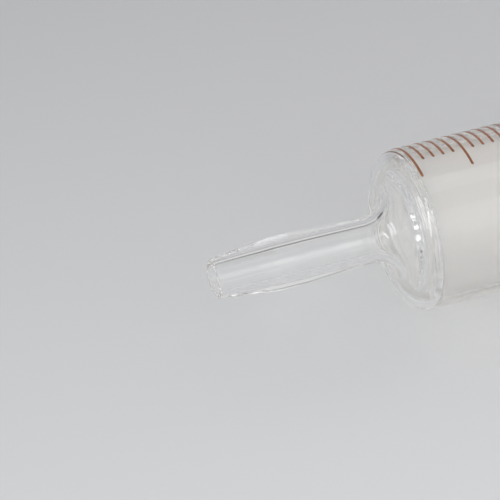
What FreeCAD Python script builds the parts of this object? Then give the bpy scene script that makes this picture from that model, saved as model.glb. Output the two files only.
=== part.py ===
import FreeCAD, Part
import math
import os

from FreeCAD import Vector

# An all-glass gas syringe that lies on a bench: +X runs along it from the nozzle to
# the thumb disc, +Z is up, and the origin is under its middle, on the bench. Lengths
# are millimetres. Stations along X are first counted from the zero line of the scale.

# --- bore and scale ---------------------------------------------------------------
bore_radius = 13.0            # polished bore that the plunger slides in
barrel_wall = 1.5
millilitre = 1000.0           # one millilitre in cubic millimetres
scale_capacity = 50           # millilitres, one line for each
long_line_every = 5           # every fifth line is a long one
line_width = 0.45
line_height = 0.05            # fired-on scale, barely proud of the glass
line_far_angle = -60.0        # degrees about the axis, from the top towards -Y
short_line_near_angle = -3.9
long_line_near_angle = 12.0

# --- shoulder, where the barrel is drawn in to the nozzle -----------------------------
shoulder_round = 3.6          # outside corner
plain_to_zero = 0.1           # straight tube between that corner and the zero line
flare_round = 5.25            # outside sweep from the end face into the nozzle

# --- nozzle, an olive for rubber tubing -----------------------------------------------
nozzle_length = 33.8          # from the shoulder's end face to the tip
passage_radius = 2.5
tip_radius = 3.47
olive_radius = 4.7
waist_radius = 4.15
olive_start = 10.3            # from the tip to the front of the olive's widest land
olive_land = 5.7
waist_to_shoulder = 9.3
olive_round = 14.0            # blends the tip taper and the waist into the land
waist_round = 40.0
lip_outer_round = 0.55
lip_inner_round = 0.4

# --- finger flange at the open end ------------------------------------------------------
clear_stretch = 20.0          # plain barrel between the last line and the flange
flange_radius = 22.0
flange_thickness = 5.0
flange_root_round = 1.8
flange_edge_round = 1.5
mouth_chamfer = 0.8           # ground lead-in for the plunger
flat_proud = 0.5              # each flat's height over the barrel wall

# --- plunger ----------------------------------------------------------------------------
running_clearance = 0.02      # radial, between ground plunger and bore
stop_gap = 0.45               # plunger's end short of the shoulder when pushed home
plunger_corner_round = 1.2
plunger_wall = 1.6
plunger_end_wall = 2.0
cavity_round = 1.2
plunger_tail = 12.0           # ground body left standing out of the barrel
tail_round = 3.0
tail_wall = 3.0
neck_radius = 7.0
neck_length = 8.0
neck_round = 2.0
disc_radius = 14.5
disc_thickness = 5.0
disc_edge_round = 1.8

# --- worked out -------------------------------------------------------------------------
barrel_radius = bore_radius + barrel_wall
line_pitch = millilitre / (math.pi * bore_radius ** 2)
scale_length = scale_capacity * line_pitch
plunger_radius = bore_radius - running_clearance

shoulder_x = -shoulder_round - plain_to_zero
shoulder_wall = barrel_wall                         # drawn in at an even thickness
shoulder_inner_round = shoulder_round - shoulder_wall
throat_round = flare_round + shoulder_wall
inner_face_x = shoulder_x + shoulder_wall
tip_x = shoulder_x - nozzle_length
flange_front_x = scale_length + clear_stretch
open_end_x = flange_front_x + flange_thickness
flat_height = barrel_radius + flat_proud

# Pushed home, the plunger's front corner meets the round inside the shoulder.
corner_lap = plunger_radius - plunger_corner_round - (bore_radius - shoulder_inner_round)
corner_room = max(shoulder_inner_round - plunger_corner_round, 0)
corner_rest = corner_room - math.sqrt(max(corner_room ** 2 - max(corner_lap, 0) ** 2, 0))
plunger_front_x = inner_face_x + corner_rest + stop_gap
body_end_x = open_end_x + plunger_tail
disc_front_x = body_end_x + neck_length
disc_back_x = disc_front_x + disc_thickness

AXIS = Vector(1, 0, 0)
ORIGIN = Vector(0, 0, 0)
BENCH_SHIFT = Vector(-(tip_x + disc_back_x) / 2, 0, flat_height)


def fitted_reaches(points, roundings):
    """How far each rounding reaches along its sides, less where a side is too short."""
    reaches = []
    half_angles = []
    for i, here in enumerate(points):
        to_last = points[i - 1] - here
        to_next = points[(i + 1) % len(points)] - here
        half_angles.append(to_last.getAngle(to_next) / 2)
        reaches.append(roundings[i] / math.tan(half_angles[-1]))
    shares = [1.0] * len(points)
    for i, here in enumerate(points):
        k = (i + 1) % len(points)
        side = here.distanceToPoint(points[k])
        share = side / max(reaches[i] + reaches[k], side)
        shares[i] = min(shares[i], share)
        shares[k] = min(shares[k], share)
    return [(reach * share, half) for reach, share, half in zip(reaches, shares, half_angles)]


def rounded_outline(corners):
    """Closed wire in the XZ plane through (x, radius from the axis, corner rounding)."""
    points = [Vector(x, 0, r) for x, r, rounding in corners]
    roundings = [rounding for x, r, rounding in corners]
    runs = []
    arcs = []
    for i, (reach, half_angle) in enumerate(fitted_reaches(points, roundings)):
        here = points[i]
        to_last = (points[i - 1] - here).normalize()
        to_next = (points[(i + 1) % len(points)] - here).normalize()
        start = here + to_last * reach
        end = here + to_next * reach
        runs.append((start, end))
        if reach == 0:
            arcs.append(None)
            continue
        bisector = (to_last + to_next).normalize()
        depth = reach / math.cos(half_angle) - reach * math.tan(half_angle)
        arcs.append(Part.Arc(start, here + bisector * depth, end).toShape())
    edges = []
    for i, arc in enumerate(arcs):
        if arc is not None:
            edges.append(arc)
        end = runs[i][1]
        following = runs[(i + 1) % len(runs)][0]
        if end.distanceToPoint(following) > 1e-6:
            edges.append(Part.LineSegment(end, following).toShape())
    return Part.Wire(edges)


def turned(corners):
    """Solid of revolution about the syringe's axis."""
    return Part.Face(rounded_outline(corners)).revolve(ORIGIN, AXIS, 360)


def barrel_blank():
    """Tube, shoulder, nozzle and a round flange, as one wall turned about the axis."""
    return turned([
        (tip_x, passage_radius, lip_inner_round),
        (tip_x, tip_radius, lip_outer_round),
        (tip_x + olive_start, olive_radius, olive_round),
        (tip_x + olive_start + olive_land, olive_radius, olive_round),
        (shoulder_x - waist_to_shoulder, waist_radius, waist_round),
        (shoulder_x, waist_radius, flare_round),
        (shoulder_x, barrel_radius, shoulder_round),
        (flange_front_x, barrel_radius, flange_root_round),
        (flange_front_x, flange_radius, flange_edge_round),
        (open_end_x, flange_radius, flange_edge_round),
        (open_end_x, bore_radius + mouth_chamfer, 0),
        (open_end_x - mouth_chamfer, bore_radius, 0),
        (inner_face_x, bore_radius, shoulder_inner_round),
        (inner_face_x, passage_radius, throat_round),
    ])


def flat_cutter(side):
    """What is ground off the flange above (side 1) or below (side -1) its flat."""
    length = flange_thickness + 2 * flange_root_round
    width = 2 * flange_radius
    height = flange_radius
    low = flat_height if side > 0 else -flat_height - height
    corner = Vector(flange_front_x - 1.5 * flange_root_round, -width / 2, low)
    return Part.makeBox(length, width, height, corner)


def barrel():
    return barrel_blank().cut([flat_cutter(1), flat_cutter(-1)])


def plunger():
    """Hollow ground body, closed in front, drawn in to a neck behind a thumb disc."""
    outside = turned([
        (plunger_front_x, 0, 0),
        (plunger_front_x, plunger_radius, plunger_corner_round),
        (body_end_x, plunger_radius, tail_round),
        (body_end_x, neck_radius, neck_round),
        (disc_front_x, neck_radius, neck_round),
        (disc_front_x, disc_radius, disc_edge_round),
        (disc_back_x, disc_radius, disc_edge_round),
        (disc_back_x, 0, 0),
    ])
    cavity_radius = plunger_radius - plunger_wall
    cavity = turned([
        (plunger_front_x + plunger_end_wall, 0, 0),
        (plunger_front_x + plunger_end_wall, cavity_radius, cavity_round),
        (body_end_x - tail_wall, cavity_radius, tail_round),
        (body_end_x - tail_wall, 0, 0),
    ])
    return outside.cut(cavity)


def scale_line(number, near_angle):
    """One curved line of the scale, lying on the outside of the barrel."""
    x = number * line_pitch
    inside = barrel_radius
    outside = barrel_radius + line_height
    section = Part.makePolygon([
        Vector(x - line_width / 2, 0, inside),
        Vector(x + line_width / 2, 0, inside),
        Vector(x + line_width / 2, 0, outside),
        Vector(x - line_width / 2, 0, outside),
        Vector(x - line_width / 2, 0, inside),
    ])
    line = Part.Face(section).revolve(ORIGIN, AXIS, near_angle - line_far_angle)
    line.rotate(ORIGIN, AXIS, line_far_angle)
    return line


def graduations(numbers, near_angle):
    return Part.makeCompound([scale_line(number, near_angle) for number in numbers])


all_lines = range(scale_capacity + 1)
long_lines = [n for n in all_lines if n % long_line_every == 0]
short_lines = [n for n in all_lines if n % long_line_every != 0]

nodes = {
    "barrel": barrel(),
    "plunger": plunger(),
    "long_graduations": graduations(long_lines, long_line_near_angle),
    "short_graduations": graduations(short_lines, short_line_near_angle),
}

os.makedirs("parts", exist_ok=True)
for name, shape in nodes.items():
    shape.translate(BENCH_SHIFT)
    shape.exportStep("parts/" + name + ".step")
    box = shape.BoundBox
    print(name, len(shape.Solids), "solids", shape.isValid(), round(shape.Volume, 2), "mm3",
          "x", round(box.XMin, 3), round(box.XMax, 3),
          "y", round(box.YMin, 3), round(box.YMax, 3),
          "z", round(box.ZMin, 3), round(box.ZMax, 3))
print("bench shift", BENCH_SHIFT, "pitch", round(line_pitch, 4), "scale", round(scale_length, 3))
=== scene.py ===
import math

import bmesh
import bpy
from mathutils import Matrix, Vector


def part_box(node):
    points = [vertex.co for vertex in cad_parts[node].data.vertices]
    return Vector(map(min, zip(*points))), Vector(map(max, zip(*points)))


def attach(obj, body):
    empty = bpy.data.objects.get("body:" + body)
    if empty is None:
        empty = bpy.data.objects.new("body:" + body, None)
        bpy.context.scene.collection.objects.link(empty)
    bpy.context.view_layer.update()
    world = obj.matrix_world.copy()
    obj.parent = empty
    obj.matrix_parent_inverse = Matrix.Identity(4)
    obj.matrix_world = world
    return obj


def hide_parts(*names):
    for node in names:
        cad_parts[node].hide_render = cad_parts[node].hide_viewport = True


# A glass gas syringe on a pale bench. Lengths are millimetres times mm, in the row's
# frame: +X from the nozzle to the thumb disc, +Z up, the bench at z = 0.
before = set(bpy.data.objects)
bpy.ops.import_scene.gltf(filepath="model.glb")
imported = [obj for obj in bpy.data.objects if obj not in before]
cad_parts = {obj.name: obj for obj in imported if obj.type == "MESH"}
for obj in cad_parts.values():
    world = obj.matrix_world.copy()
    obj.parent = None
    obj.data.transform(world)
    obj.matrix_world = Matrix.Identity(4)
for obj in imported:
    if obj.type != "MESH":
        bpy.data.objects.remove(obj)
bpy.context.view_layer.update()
mm = 0.001

# --- places and sizes that the frame gives ---------------------------------------------
barrel_low, barrel_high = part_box("barrel")
plunger_low, plunger_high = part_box("plunger")
lines_low, lines_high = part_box("long_graduations")
tip_x = barrel_low.x
open_end_x = barrel_high.x
flange_radius = barrel_high.y
flat_height = (barrel_high.z - barrel_low.z) / 2
axis_z = barrel_low.z + flat_height
plunger_front_x = plunger_low.x
disc_back_x = plunger_high.x
disc_radius = (plunger_high.z - plunger_low.z) / 2

# --- sizes shared with the CAD source -----------------------------------------------------
bore_radius = 13.0 * mm
barrel_radius = 14.5 * mm
nozzle_length = 33.8 * mm
shoulder_wall = barrel_radius - bore_radius
shoulder_round = 3.6 * mm
plain_to_zero = 0.1 * mm
shoulder_inner_round = shoulder_round - shoulder_wall
flare_round = 5.25 * mm
throat_round = flare_round + shoulder_wall
passage_radius = 2.5 * mm
tip_radius = 3.47 * mm
olive_radius = 4.7 * mm
waist_radius = 4.15 * mm
olive_start = 10.3 * mm
olive_land = 5.7 * mm
waist_to_shoulder = 9.3 * mm
olive_round = 14.0 * mm
waist_round = 40.0 * mm
lip_outer_round = 0.55 * mm
lip_inner_round = 0.4 * mm
flange_thickness = 5.0 * mm
flange_root_round = 1.8 * mm
flange_edge_round = 1.5 * mm
mouth_round = 0.8 * mm
flat_edge_round = 0.4 * mm
plunger_radius = 12.98 * mm
plunger_corner_round = 1.2 * mm
plunger_wall = 1.6 * mm
plunger_end_wall = 2.0 * mm
cavity_round = 1.2 * mm
tail_round = 3.0 * mm
tail_wall = 3.0 * mm
neck_radius = 7.0 * mm
neck_length = 8.0 * mm
neck_round = 2.0 * mm
disc_thickness = 5.0 * mm
disc_edge_round = 1.8 * mm
scale_capacity = 50
long_line_every = 5
line_width = 0.45 * mm
line_far_angle = math.radians(-60.0)
short_line_near_angle = math.radians(-3.9)
long_line_near_angle = math.radians(12.0)

# --- sizes of the visual model alone ------------------------------------------------------
stain_sunk = 0.01 * mm          # how deep the scale's stain reaches into the glass
stain_proud = 0.03 * mm         # and how far it stands above it
figure_height = 3.6 * mm
figure_middle_angle = math.radians(-70.0)       # beyond the lines' far ends
ground_from_zero = 0.4 * mm     # from the zero line to the start of the ground skins
skin_tolerance = 0.1 * mm       # how near its radius a ground face has to lie

shoulder_x = tip_x + nozzle_length
zero_x = shoulder_x + shoulder_round + plain_to_zero
inner_face_x = shoulder_x + shoulder_wall
flange_front_x = open_end_x - flange_thickness
disc_front_x = disc_back_x - disc_thickness
body_end_x = disc_front_x - neck_length
line_pitch = (lines_high.x - lines_low.x - line_width) / scale_capacity

SEGMENTS = 384          # round a lathed piece
ARC_STEPS = 10          # along one rounded corner of its outline
FLAT_SHARPNESS = 40     # how tightly the flange's rim turns into its flats
LINE_STEPS = 36         # along one scale line
FIGURE_CUTS = 12        # in each half of a figure, so that it bends with the barrel
FIGURE_SHARE = 0.72     # a figure's height as a share of the font's size
STUDIO_RADIUS = 1.6     # from the part to each lamp, in metres
GLASS_BOUNCES = 64      # light crosses many faces of the thick glass before it comes out


def placed(name, data):
    """A new object of the scene that shows that mesh, curve, lamp or camera."""
    made = bpy.data.objects.new(name, data)
    bpy.context.scene.collection.objects.link(made)
    return made


# --- lathed glass ------------------------------------------------------------------------
def rounded_outline(corners, closed):
    """Points (x, r, tangent x, tangent r) along straight runs joined by round corners.

    Each corner is (x, radius from the axis, rounding), and gives ARC_STEPS + 1 points,
    or one where its rounding is None.
    """
    outline = []
    count = len(corners)
    for i, (x, r, rounding) in enumerate(corners):
        here = Vector((x, r))
        last = Vector(corners[i - 1][:2])
        following = Vector(corners[(i + 1) % count][:2])
        if rounding is None:
            along = (following - here) if closed or i < count - 1 else (here - last)
            outline.append((x, r, *along.normalized()))
            continue
        into = (here - last).normalized()
        out = (following - here).normalized()
        turn = into.angle_signed(out)
        reach = rounding * math.tan(abs(turn) / 2)
        side = Vector((into.y, -into.x)) * (1 if turn > 0 else -1)
        centre = here - into * reach + side * rounding
        for step in range(ARC_STEPS + 1):
            angle = -turn * step / ARC_STEPS
            along = Vector((into.x * math.cos(angle) - into.y * math.sin(angle),
                            into.x * math.sin(angle) + into.y * math.cos(angle)))
            outward = Vector((along.y, -along.x)) * (-1 if turn > 0 else 1)
            point = centre + outward * rounding
            outline.append((point.x, point.y, along.x, along.y))
    return outline


def on_section(x, r, angle):
    """Point at a radius and an angle from the top, positive towards -Y."""
    return Vector((x, -r * math.sin(angle), axis_z + r * math.cos(angle)))


def lathe(name, outline_at, closed):
    """Mesh object swept round the axis. outline_at(angle) gives its outline there.

    An open outline starts and ends on the axis, where its ring shrinks to one point.
    """
    step = 2 * math.pi / SEGMENTS
    tiny = step / 50
    vertices = []
    normals = []
    faces = []
    poles = [] if closed else [outline_at(0)[0], outline_at(0)[-1]]
    for i in range(SEGMENTS):
        angle = i * step
        ring, before, after = (outline_at(a) if closed else outline_at(a)[1:-1]
                               for a in (angle, angle - tiny, angle + tiny))
        count = len(ring)
        for (x, r, tx, tr), a, b in zip(ring, before, after):
            vertices.append(on_section(x, r, angle))
            around = on_section(b[0], b[1], angle + tiny) - on_section(a[0], a[1], angle - tiny)
            along = on_section(tx, tr, angle) - Vector((0, 0, axis_z))
            normals.append(around.cross(along).normalized())
    for x, r, tx, tr in poles:
        vertices.append(on_section(x, r, 0))
        normals.append(Vector((0, 0, 0)))   # Blender's own normal is right at a pole
    first_pole, last_pole = len(vertices) - 2, len(vertices) - 1
    for i in range(SEGMENTS):
        this = i * count
        following = ((i + 1) % SEGMENTS) * count
        for j in range(count if closed else count - 1):
            k = (j + 1) % count
            faces.append((this + j, following + j, following + k, this + k))
        if poles:
            faces.append((first_pole, following, this))
            faces.append((last_pole, this + count - 1, following + count - 1))
    mesh = bpy.data.meshes.new(name)
    mesh.from_pydata(vertices, [], faces)
    for polygon in mesh.polygons:
        polygon.use_smooth = True
    mesh.normals_split_custom_set_from_vertices(normals)
    return placed(name, mesh)


def flange_edge(angle):
    """The flange's radius at an angle: a circle with two flats, its corners eased."""
    flat = flat_height / max(abs(math.cos(angle)), 1e-6)
    p = FLAT_SHARPNESS
    smaller = min(flat, flange_radius)
    return smaller * ((smaller / flat) ** p + (smaller / flange_radius) ** p) ** (-1 / p)


def barrel_outline(angle):
    """The barrel's section at an angle. Only the flange's edge and its rounds change."""
    edge = flange_edge(angle)
    share = (edge - flat_height) / (flange_radius - flat_height)
    share = min(max(share, 0.0), 1.0)       # 0 on a flat, 1 on the round rim
    rim_round = flat_edge_round + (flange_edge_round - flat_edge_round) * share
    room = 0.4 * (edge - barrel_radius)     # keeps the two rounds of the front face apart
    return rounded_outline([
        (tip_x, passage_radius, lip_inner_round),
        (tip_x, tip_radius, lip_outer_round),
        (tip_x + olive_start, olive_radius, olive_round),
        (tip_x + olive_start + olive_land, olive_radius, olive_round),
        (shoulder_x - waist_to_shoulder, waist_radius, waist_round),
        (shoulder_x, waist_radius, flare_round),
        (shoulder_x, barrel_radius, shoulder_round),
        (flange_front_x, barrel_radius, min(flange_root_round, room)),
        (flange_front_x, edge, min(rim_round, room)),
        (open_end_x, edge, rim_round),
        (open_end_x, bore_radius, mouth_round),
        (inner_face_x, bore_radius, shoulder_inner_round),
        (inner_face_x, passage_radius, throat_round),
    ], closed=True)


def plunger_outline(angle):
    """The plunger's outside, the same at every angle, from its front to its thumb face."""
    return rounded_outline([
        (plunger_front_x, 0, None),
        (plunger_front_x, plunger_radius, plunger_corner_round),
        (body_end_x, plunger_radius, tail_round),
        (body_end_x, neck_radius, neck_round),
        (disc_front_x, neck_radius, neck_round),
        (disc_front_x, disc_radius, disc_edge_round),
        (disc_back_x, disc_radius, disc_edge_round),
        (disc_back_x, 0, None),
    ], closed=False)


def cavity_outline(angle):
    """The plunger's hollow, walked backwards so that its faces look into the hollow."""
    cavity_radius = plunger_radius - plunger_wall
    return rounded_outline([
        (body_end_x - tail_wall, 0, None),
        (body_end_x - tail_wall, cavity_radius, tail_round),
        (plunger_front_x + plunger_end_wall, cavity_radius, cavity_round),
        (plunger_front_x + plunger_end_wall, 0, None),
    ], closed=False)


def joined(pieces, name):
    """One object out of several meshes."""
    bpy.ops.object.select_all(action="DESELECT")
    for piece in pieces:
        piece.select_set(True)
    bpy.context.view_layer.objects.active = pieces[0]
    bpy.ops.object.join()
    pieces[0].name = name
    pieces[0].data.name = name
    return pieces[0]


# --- scale ---------------------------------------------------------------------------------
def scale_lines(name, numbers, near_angle):
    """Thin arched strips on the barrel, sunk a little into the glass, with round ends."""
    low = barrel_radius - stain_sunk
    high = barrel_radius + stain_proud
    vertices = []
    faces = []
    reach = line_width / 2 / barrel_radius
    for number in numbers:
        x = zero_x + number * line_pitch
        start = len(vertices)
        for step in range(LINE_STEPS + 1):
            share = (1 - math.cos(math.pi * step / LINE_STEPS)) / 2     # closer at the ends
            angle = line_far_angle + (near_angle - line_far_angle) * share
            end_gap = min(angle - line_far_angle, near_angle - angle)
            inset = max(1 - end_gap / reach, 0.0)
            half = line_width / 2 * math.sqrt(max(1 - inset * inset, 0.02))
            for r in (low, high):
                for side in (-half, half):
                    vertices.append(on_section(x + side, r, angle))
        for step in range(LINE_STEPS):
            a = start + 4 * step
            b = a + 4
            faces += [(b + 2, b + 3, a + 3, a + 2), (b + 1, b, a, a + 1),
                      (b, b + 2, a + 2, a), (b + 3, b + 1, a + 1, a + 3)]
        last = start + 4 * LINE_STEPS
        faces += [(start + 2, start + 3, start + 1, start), (last + 3, last + 2, last, last + 1)]
    mesh = bpy.data.meshes.new(name)
    mesh.from_pydata(vertices, [], faces)
    return placed(name, mesh)


def bent_figure(name, text, x):
    """A number bent round the barrel at x, upright as seen from the scale's far side."""
    curve = bpy.data.curves.new(name, "FONT")
    curve.body = text
    curve.size = figure_height / FIGURE_SHARE
    curve.align_x = "CENTER"
    curve.align_y = "CENTER"
    curve.extrude = (stain_proud + stain_sunk) / 2
    flat = placed(name, curve)
    bpy.context.view_layer.update()
    mesh = bpy.data.meshes.new_from_object(flat)
    bpy.data.objects.remove(flat)
    figure = bmesh.new()
    figure.from_mesh(mesh)
    bmesh.ops.remove_doubles(figure, verts=figure.verts, dist=1e-7)
    for step in range(1 - FIGURE_CUTS, FIGURE_CUTS):
        height = step * figure_height / 2 / FIGURE_CUTS
        whole = figure.verts[:] + figure.edges[:] + figure.faces[:]
        bmesh.ops.bisect_plane(figure, geom=whole, dist=1e-8,
                               plane_co=(0, height, 0), plane_no=(0, 1, 0))
    for vertex in figure.verts:
        along, across, outward = vertex.co
        reach = barrel_radius + (stain_proud - stain_sunk) / 2 + outward
        vertex.co = on_section(x - along, reach, figure_middle_angle + across / barrel_radius)
    figure.to_mesh(mesh)
    figure.free()
    return placed(name, mesh)


def numerals(name, numbers):
    """Plain figures beside the long lines."""
    return joined([bent_figure(name, str(number), zero_x + number * line_pitch)
                   for number in numbers], name)


# --- camera -------------------------------------------------------------------------------
def make_camera():
    """The photograph's view: from in front, above and a little to the left."""
    azimuth = math.radians(20.97)
    elevation = math.radians(40.65)
    distance = 554.5 * mm
    aim = Vector((zero_x - 27.6 * mm, 8.0 * mm, axis_z - 2.8 * mm))
    forward = Vector((math.sin(azimuth) * math.cos(elevation),
                      math.cos(azimuth) * math.cos(elevation),
                      -math.sin(elevation)))
    data = bpy.data.cameras.new("camera")
    data.sensor_width = 36
    data.lens = 227.58
    data.clip_start = 10 * mm
    data.clip_end = 20
    camera = placed("camera", data)
    camera.location = aim - forward * distance
    camera.rotation_mode = "QUATERNION"
    camera.rotation_quaternion = forward.to_track_quat("-Z", "Y")
    bpy.context.scene.camera = camera


# --- materials ------------------------------------------------------------------------------
def add(tree, kind, inputs=None, **settings):
    """A shader node with its settings, and its inputs by name: a value, or a socket to link."""
    made = tree.nodes.new("ShaderNode" + kind)
    for key, value in settings.items():
        setattr(made, key, value)
    for key, value in (inputs or {}).items():
        if isinstance(value, bpy.types.NodeSocket):
            tree.links.new(value, made.inputs[key])
        else:
            made.inputs[key].default_value = value
    return made


def new_material(name):
    """A material without nodes yet, and its node tree."""
    material = bpy.data.materials.new(name)
    material.use_nodes = True
    material.node_tree.nodes.clear()
    return material, material.node_tree


def noise(tree, size, detail=2.0, roughness=0.5):
    """Noise whose lumps are about that size, fixed to the object."""
    place = add(tree, "TexCoord").outputs["Object"]
    return add(tree, "TexNoise", {"Vector": place, "Scale": 1 / size, "Detail": detail,
                                  "Roughness": roughness}).outputs["Fac"]


def finish_glass(tree, surface, shadow_tint):
    """Lets lamp light through the glass, tinted, where a shadow ray crosses it."""
    path = add(tree, "LightPath")
    clear = add(tree, "BsdfTransparent", {"Color": (*shadow_tint, 1)})
    mixed = add(tree, "MixShader", {0: path.outputs["Is Shadow Ray"], 1: surface,
                                    2: clear.outputs[0]})
    add(tree, "OutputMaterial", {"Surface": mixed.outputs[0]})


def clear_glass():
    """Polished borosilicate, with the faint unevenness of worked tube."""
    material, tree = new_material("clear_glass")
    waves = add(tree, "Bump", {"Height": noise(tree, 9 * mm, 1.0), "Distance": 0.03 * mm,
                               "Strength": 1.0})
    body = add(tree, "BsdfPrincipled", {
        "Base Color": (0.997, 0.998, 0.997, 1), "Roughness": 0.0, "IOR": 1.473,
        "Transmission Weight": 1.0, "Normal": waves.outputs[0]})
    finish_glass(tree, body.outputs[0], (0.97, 0.975, 0.97))
    return material


def ground_glass(name, colour, clearness, shadow_tint):
    """Glass ground to a fine, even matt. Clearness is the share that lets light through."""
    material, tree = new_material(name)
    grain = add(tree, "Bump", {"Height": noise(tree, 0.25 * mm, 3.0), "Distance": 0.02 * mm,
                               "Strength": 0.5})
    cloud = add(tree, "MapRange", {"Value": noise(tree, 14 * mm, 3.0), "To Min": 0.80,
                                   "To Max": 0.90})
    body = add(tree, "BsdfPrincipled", {
        "Base Color": (*colour, 1), "Roughness": cloud.outputs[0], "IOR": 1.473,
        "Transmission Weight": clearness, "Normal": grain.outputs[0]})
    finish_glass(tree, body.outputs[0], shadow_tint)
    return material


def dress_glass(piece, clear, skin, radius, end_x):
    """Clear glass, with a ground skin on the faces at that radius, up to end_x."""
    piece.data.materials.append(clear)
    piece.data.materials.append(skin)
    for polygon in piece.data.polygons:
        middle = polygon.center
        reach = math.hypot(middle.y, middle.z - axis_z)
        in_span = zero_x + ground_from_zero < middle.x < end_x
        if in_span and abs(reach - radius) < skin_tolerance:
            polygon.material_index = 1


def amber_stain():
    """The fired-on scale: dark brown, running to amber where the stain is thinner."""
    material, tree = new_material("amber_scale")
    ramp = add(tree, "ValToRGB", {0: noise(tree, 0.6 * mm, 3.0)})
    ramp.color_ramp.elements[0].position = 0.35
    ramp.color_ramp.elements[0].color = (0.165, 0.058, 0.024, 1)
    ramp.color_ramp.elements[1].position = 0.7
    ramp.color_ramp.elements[1].color = (0.38, 0.135, 0.048, 1)
    body = add(tree, "BsdfPrincipled", {"Base Color": ramp.outputs[0], "Roughness": 0.35})
    add(tree, "OutputMaterial", {"Surface": body.outputs[0]})
    return material


# --- bench and light ------------------------------------------------------------------------
def make_bench():
    """A pale, matt bench, painted a little darker towards the back: painted shade that stands in
    for the light falling off.
    """
    half = 3.0              # metres
    near_y = -110 * mm      # the bench runs from its paler to its darker colour
    far_y = 130 * mm        # between these two
    mesh = bpy.data.meshes.new("bench")
    mesh.from_pydata([(-half, -half, 0), (half, -half, 0), (half, half, 0), (-half, half, 0)],
                     [], [(0, 1, 2, 3)])
    bench = placed("bench", mesh)
    material, tree = new_material("bench")
    place = add(tree, "SeparateXYZ", {0: add(tree, "TexCoord").outputs["Object"]})
    # Painted shade: the bench's colour darkens from near_y to far_y in place of the light
    # falling off towards the back.
    painted_falloff = add(tree, "MapRange", {"Value": place.outputs["Y"], "From Min": near_y,
                                   "From Max": far_y})
    ramp = add(tree, "ValToRGB", {0: painted_falloff.outputs[0]})
    ramp.color_ramp.elements[0].color = (0.708, 0.713, 0.721, 1)
    ramp.color_ramp.elements[1].color = (0.462, 0.465, 0.479, 1)
    body = add(tree, "BsdfPrincipled", {"Base Color": ramp.outputs[0], "Roughness": 0.8,
                                        "Specular IOR Level": 0.2})
    add(tree, "OutputMaterial", {"Surface": body.outputs[0]})
    mesh.materials.append(material)


def compass(azimuth, elevation):
    """Unit vector for a compass angle from +Y towards +X, and a height above the horizon."""
    azimuth, elevation = math.radians(azimuth), math.radians(elevation)
    return Vector((math.sin(azimuth) * math.cos(elevation),
                   math.cos(azimuth) * math.cos(elevation), math.sin(elevation)))


def make_room():
    """Pale light all round, paler in front, with a dark band and a dark corner behind.

    The glass shows the band as the line along the nozzle, and the corner at its root.
    """
    world = bpy.data.worlds.new("room")
    bpy.context.scene.world = world
    world.use_nodes = True
    tree = world.node_tree
    tree.nodes.clear()
    way = add(tree, "TexCoord").outputs["Generated"]

    def patch(azimuth, elevation, inner, outer):
        """1 within the inner angle of that direction, and 0 beyond the outer one."""
        towards = add(tree, "VectorMath", {0: way, 1: compass(azimuth, elevation)},
                      operation="DOT_PRODUCT")
        return add(tree, "MapRange", {"Value": towards.outputs["Value"],
                                      "From Min": math.cos(math.radians(outer)),
                                      "From Max": math.cos(math.radians(inner))},
                   interpolation_type="SMOOTHSTEP").outputs[0]

    def band(azimuth, low, high, edge):
        """1 where that side of the room lies between two heights, with soft edges."""
        height = add(tree, "Math", {0: add(tree, "SeparateXYZ", {0: way}).outputs["Z"]},
                     operation="ARCSINE").outputs[0]
        share = patch(azimuth, (low + high) / 2, 25, 45)
        for start, end in ((low - edge, low), (high + edge, high)):
            rise = add(tree, "MapRange", {"Value": height, "From Min": math.radians(start),
                                          "From Max": math.radians(end)},
                       interpolation_type="SMOOTHSTEP").outputs[0]
            share = add(tree, "Math", {0: share, 1: rise}, operation="MULTIPLY").outputs[0]
        return share

    colour = (0.55, 0.55, 0.56, 1)
    for share, grey in ((patch(0, 90, 20, 50), 0.62),       # overhead
                        (patch(-80, 20, 25, 60), 0.62),     # on the left
                        (patch(180, 15, 25, 70), 0.95),     # in front, where the camera is
                        (band(15, -10, 13, 3), 0.68),       # behind, under the dark band
                        (band(15, 18, 27, 3), 0.25),        # the dark band
                        (band(15, 33, 50, 3), 0.80),        # behind, over the dark band
                        (patch(-9, 9, 5, 9), 0.01)):        # the dark corner
        blend = add(tree, "Mix", {0: share, 6: colour, 7: (grey, grey, grey, 1)},
                    data_type="RGBA")
        colour = blend.outputs[2]
    light = add(tree, "Background", {"Color": colour, "Strength": 1.0})
    add(tree, "OutputWorld", {"Surface": light.outputs[0]})


def strip_light(name, start, end, wide, radiance):
    """A lamp that faces the part and spans from one direction to another from there.

    Both are (azimuth, elevation) in degrees, and its width is in degrees too.
    """
    start, end = compass(*start), compass(*end)
    place = (start + end).normalized()
    along = (end - start).normalized()
    data = bpy.data.lights.new(name, "AREA")
    data.shape = "RECTANGLE"
    data.size = 2 * STUDIO_RADIUS * math.tan(math.radians(wide) / 2)
    data.size_y = 2 * STUDIO_RADIUS * math.tan(start.angle(end) / 2)
    data.energy = radiance * math.pi * data.size * data.size_y
    centre = place * STUDIO_RADIUS + Vector((zero_x, 0, axis_z))
    turn = Matrix((along.cross(place), along, place)).transposed()
    placed(name, data).matrix_world = Matrix.Translation(centre) @ turn.to_4x4()


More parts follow.
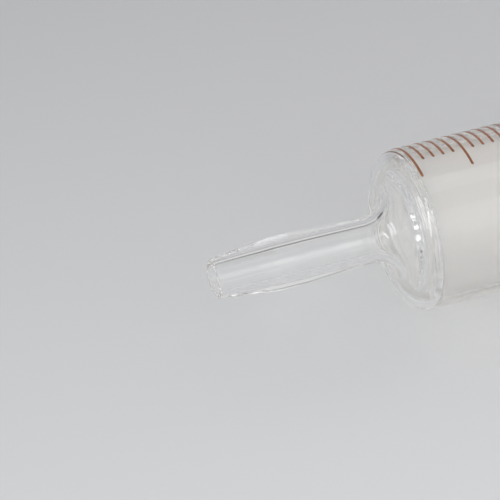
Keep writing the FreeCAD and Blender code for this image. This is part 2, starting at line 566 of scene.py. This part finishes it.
# --- the scene ------------------------------------------------------------------------------
make_camera()
make_bench()
make_room()
strip_light("tube_far", (-136, 54), (-138, 19), 7, 5.5)
strip_light("tube_middle", (-84, 46), (-122, 21), 7, 5.5)
strip_light("tube_near", (-79, 34), (-108, 12), 6, 5.5)
strip_light("ceiling_box", (-130, 52), (-170, 52), 18, 1.2)
strip_light("front_box", (155, 20), (155, 53), 24, 0.9)
strip_light("top_box", (45, 66), (100, 67), 14, 1.0)

scene = bpy.context.scene
scene.view_settings.view_transform = "Standard"
scene.cycles.max_bounces = GLASS_BOUNCES
scene.cycles.transmission_bounces = GLASS_BOUNCES
scene.cycles.glossy_bounces = GLASS_BOUNCES

barrel_glass = lathe("barrel_glass", barrel_outline, closed=True)
plunger_glass = joined([lathe("plunger_glass", plunger_outline, closed=False),
                        lathe("plunger_cavity", cavity_outline, closed=False)], "plunger_glass")
long_lines = scale_lines("long_lines", range(0, scale_capacity + 1, long_line_every),
                         long_line_near_angle)
short_lines = scale_lines("short_lines",
                          [n for n in range(scale_capacity + 1) if n % long_line_every],
                          short_line_near_angle)
figures = numerals("numerals", range(10, scale_capacity + 1, 10))

clear = clear_glass()
stain = amber_stain()
ground = ground_glass("ground_glass", (0.988, 0.974, 0.958), 0.95, (0.50, 0.50, 0.49))
ground_bore = ground_glass("ground_bore", (0.997, 0.990, 0.984), 1.0, (0.97, 0.975, 0.97))
dress_glass(barrel_glass, clear, ground_bore, bore_radius, open_end_x - mouth_round)
dress_glass(plunger_glass, clear, ground, plunger_radius, body_end_x - tail_round)
for piece in (long_lines, short_lines, figures):
    piece.data.materials.append(stain)

for piece, body, slot in ((barrel_glass, "barrel_body", "clear_glass"),
                          (plunger_glass, "plunger_body", "ground_glass"),
                          (long_lines, "barrel_body", "amber_scale"),
                          (short_lines, "barrel_body", "amber_scale"),
                          (figures, "barrel_body", "amber_scale")):
    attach(piece, body)
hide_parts("barrel")
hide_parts("plunger")
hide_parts("long_graduations")
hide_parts("short_graduations")
